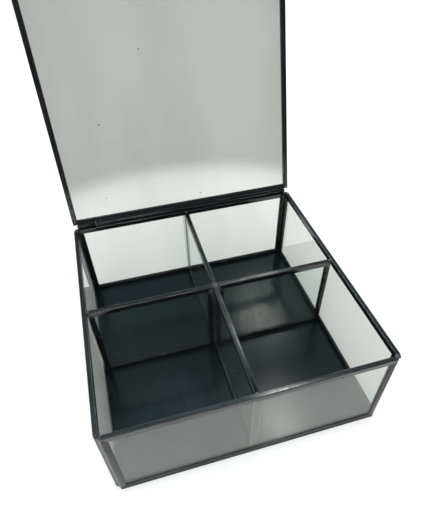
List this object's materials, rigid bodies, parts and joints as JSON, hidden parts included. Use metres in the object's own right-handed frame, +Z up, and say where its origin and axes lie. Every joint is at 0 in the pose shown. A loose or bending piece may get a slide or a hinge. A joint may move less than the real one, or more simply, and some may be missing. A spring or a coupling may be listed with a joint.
{
  "type": "divided glass storage box",
  "caption": "Square tea bag organizer box of clear glass panes in black metal channels, with crossing dividers, a glossy black base and a hinged glass lid.",
  "frame": {"origin": "middle of the underside of the base plate, on the surface that the box stands on", "axes": "+X to the right and +Y to the rear, where the hinge is, as seen by someone who opens the lid; +Z up"},
  "size_m": [0.16, 0.2044, 0.2155],
  "materials": {
    "glass": "clear float glass, polished, a little dust and haze",
    "black_channel": "brass channel blackened with a dark patina, satin, worn to brown grey along the edges",
    "base_plate": "gloss black lacquered sheet, clear reflections",
    "solder": "solder with a dark patina, slightly lumpy",
    "clear_seal": "clear silicone, milky",
    "hinge_rod": "blackened steel rod"
  },
  "bodies": {
    "box": {"base_plate": "base_plate", "front_glass": "glass", "right_glass": "glass", "rear_glass": "glass", "left_glass": "glass", "front_bottom_channel": "black_channel", "front_right_channel": "black_channel", "front_top_channel": "black_channel", "front_left_channel": "black_channel", "right_bottom_channel": "black_channel", "right_rear_channel": "black_channel", "right_top_channel": "black_channel", "right_front_channel": "black_channel", "rear_bottom_channel": "black_channel", "rear_left_channel": "black_channel", "rear_top_channel": "black_channel", "rear_right_channel": "black_channel", "left_bottom_channel": "black_channel", "left_front_channel": "black_channel", "left_top_channel": "black_channel", "left_rear_channel": "black_channel", "rear_right_seam": "solder", "rear_left_seam": "solder", "front_left_seam": "solder", "front_right_seam": "solder", "long_divider_glass": "glass", "long_divider_bottom_channel": "black_channel", "long_divider_top_channel": "black_channel", "long_divider_front_bead": "clear_seal", "long_divider_rear_bead": "clear_seal", "cross_left_glass": "glass", "cross_right_glass": "glass", "cross_left_bottom_channel": "black_channel", "cross_left_inner_channel": "black_channel", "cross_left_top_channel": "black_channel", "cross_left_wall_channel": "black_channel", "cross_right_bottom_channel": "black_channel", "cross_right_wall_channel": "black_channel", "cross_right_top_channel": "black_channel", "cross_right_inner_channel": "black_channel", "hinge_tube": "black_channel", "hinge_rod": "hinge_rod"},
    "lid": {"lid_glass": "glass", "lid_front_channel": "black_channel", "lid_right_channel": "black_channel", "lid_rear_channel": "black_channel", "lid_left_channel": "black_channel", "lid_left_knuckle": "black_channel", "lid_right_knuckle": "black_channel"}
  },
  "joints": [
    {"name": "lid_hinge", "type": "hinge", "parent": "box", "child": "lid", "pos_m": [0, 0.0794, 0.0626], "axis": [1, 0, 0], "range_deg": [0, 106]}
  ]
}
